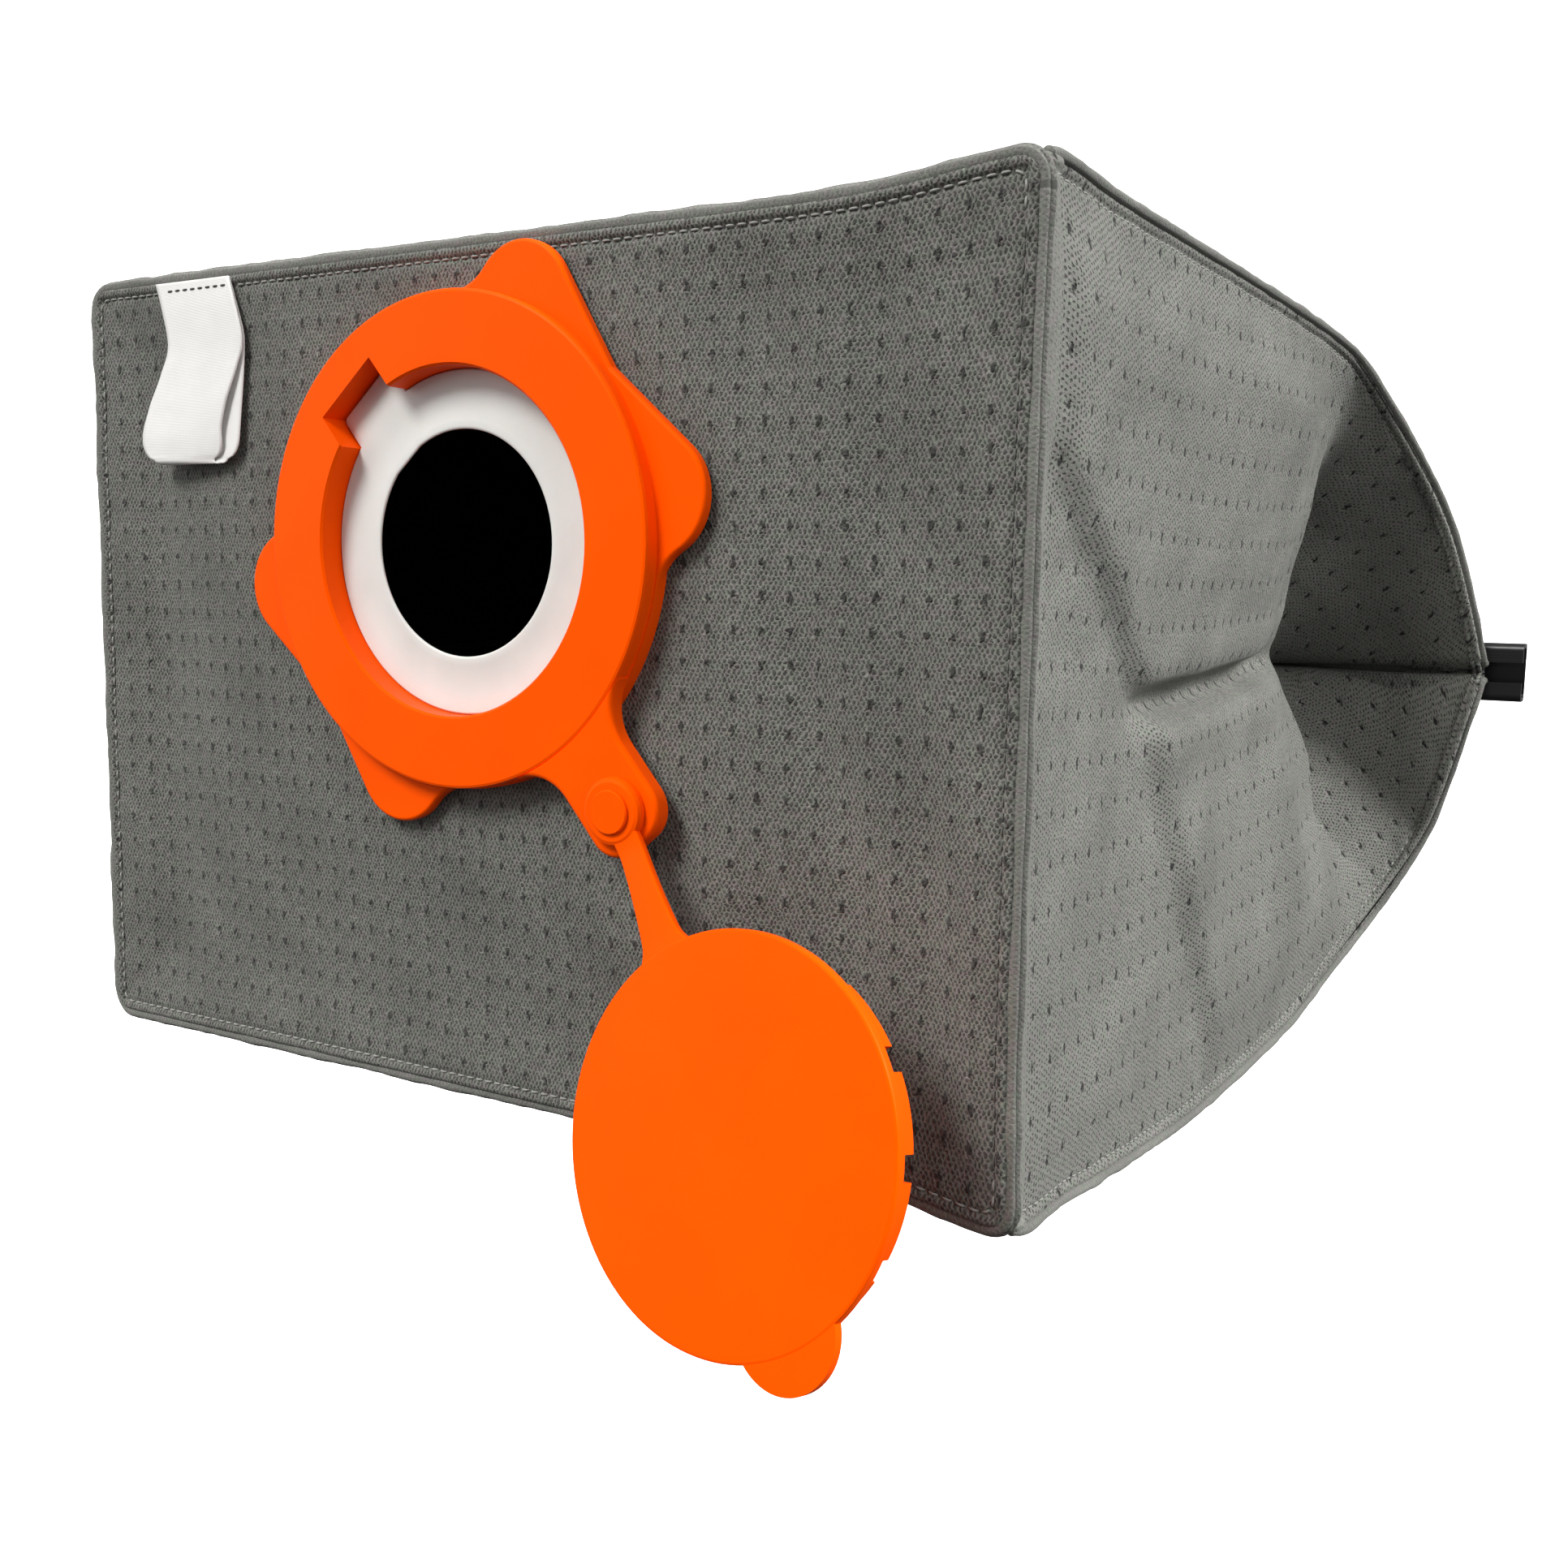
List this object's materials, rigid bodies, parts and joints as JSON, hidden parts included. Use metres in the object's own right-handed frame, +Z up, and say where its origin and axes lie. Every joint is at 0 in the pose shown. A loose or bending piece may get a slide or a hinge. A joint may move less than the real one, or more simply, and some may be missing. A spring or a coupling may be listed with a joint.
{
  "type": "reusable filter bag",
  "caption": "Reusable cloth dust-extractor bag with a boxed front, plastic inlet collar, tethered snap cap and a slide-on clamp rail at the rear.",
  "frame": {"origin": "centre of the inlet bore, in the plane of the front panel", "axes": "-Y along the bore out of the bag, +X to the right seen from in front of the collar, +Z up"},
  "size_m": [0.447, 0.372, 0.2697],
  "materials": {
    "outer_cloth": "needle-punched grey nonwoven",
    "liner_cloth": "fine dark filter fleece",
    "orange_plastic": "satin moulded plastic",
    "black_plastic": "extruded semi-gloss plastic",
    "white_rubber": "soft matt elastomer",
    "label_tape": "woven satin tape"
  },
  "bodies": {
    "bag": {"front_panel": "outer_cloth", "top_panel": "outer_cloth", "bottom_panel": "outer_cloth", "right_side_panel": "outer_cloth", "left_side_panel": "outer_cloth", "front_liner": "liner_cloth", "top_liner": "liner_cloth", "bottom_liner": "liner_cloth", "right_side_liner": "liner_cloth", "left_side_liner": "liner_cloth", "front_seam_welt": "outer_cloth", "top_right_seam_welt": "outer_cloth", "top_left_seam_welt": "outer_cloth", "bottom_right_seam_welt": "outer_cloth", "bottom_left_seam_welt": "outer_cloth", "mouth_hem": "outer_cloth", "collar_flange": "orange_plastic", "collar_ring": "orange_plastic", "backing_ring": "orange_plastic", "pivot_pin": "orange_plastic", "seal_gasket": "white_rubber", "care_label": "label_tape"},
    "eyelet": {"cap_eyelet": "orange_plastic"},
    "cap": {"cap_strap": "orange_plastic", "closure_cap": "orange_plastic"},
    "rail": {"closure_rail": "black_plastic"}
  },
  "joints": [
    {"name": "cap_swing", "type": "hinge", "parent": "bag", "child": "eyelet", "pos_m": [0.0565, -0.0116, -0.06615], "axis": [0, -1, 0], "range_deg": [-174, 186]},
    {"name": "strap_flex", "type": "hinge", "parent": "eyelet", "child": "cap", "pos_m": [0.06245, -0.0115, -0.07481], "axis": [-0.8241, 0, -0.5664], "range_deg": [-15, 60], "stiffness_Nm_per_rad": 0.3},
    {"name": "rail_slide", "type": "slide", "parent": "bag", "child": "rail", "axis": [1, 0, 0], "range_m": [-0.44, 0.44]}
  ]
}
